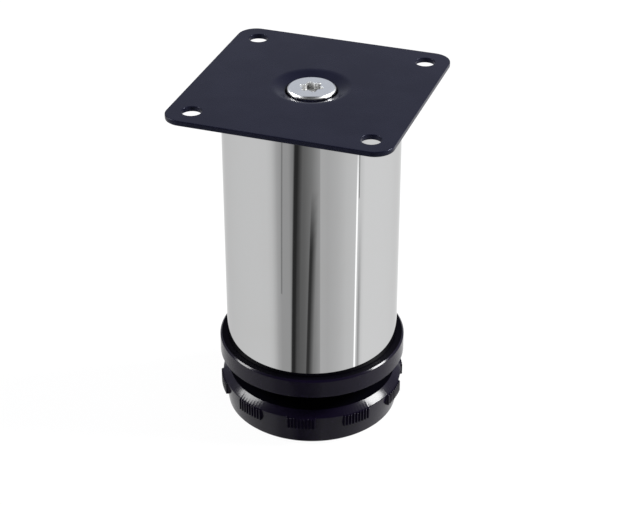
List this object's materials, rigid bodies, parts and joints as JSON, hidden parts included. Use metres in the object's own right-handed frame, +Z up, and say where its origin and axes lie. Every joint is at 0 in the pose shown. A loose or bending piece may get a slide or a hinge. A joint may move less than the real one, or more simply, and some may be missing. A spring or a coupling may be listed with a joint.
{
  "type": "adjustable cabinet leg",
  "caption": "Round chrome tube leg with a square screw-on mounting plate on top and a black screw-in levelling foot with ribbed grip pads.",
  "frame": {"origin": "on the floor under the foot, on the tube's axis", "axes": "+Z up along the tube's axis, towards the mounting plate; +X and +Y along the plate's edges"},
  "size_m": [0.0636, 0.0636, 0.1025],
  "materials": {
    "plate_paint": "satin black baked paint on steel sheet",
    "screw_zinc": "bright zinc plating on steel",
    "tube_chrome": "polished chrome plating on steel",
    "inner_steel": "bare pressed steel",
    "plug_plastic": "smooth black moulded plastic",
    "thread_zinc": "zinc plating on steel",
    "foot_plastic": "smooth black moulded plastic"
  },
  "bodies": {
    "leg": {"mounting_plate": "plate_paint", "plate_screw": "screw_zinc", "leg_tube": "tube_chrome", "top_cup": "inner_steel", "weld_nut": "inner_steel", "tube_plug": "plug_plastic", "plug_nut": "thread_zinc"},
    "stem": {"foot_stem": "thread_zinc"},
    "foot": {"foot": "foot_plastic"}
  },
  "joints": [
    {"name": "foot_travel", "type": "slide", "parent": "leg", "child": "stem", "axis": [0, 0, -1], "range_m": [-0.0055, 0.013]},
    {"name": "foot_turn", "type": "hinge", "parent": "stem", "child": "foot", "pos_m": [0, 0, 0.005], "axis": [0, 0, -1], "range_deg": [-1320, 3120]}
  ],
  "couplings": [
    {"joint": "foot_travel", "follows": "foot_turn", "m_per_rad": 0.0002387}
  ]
}
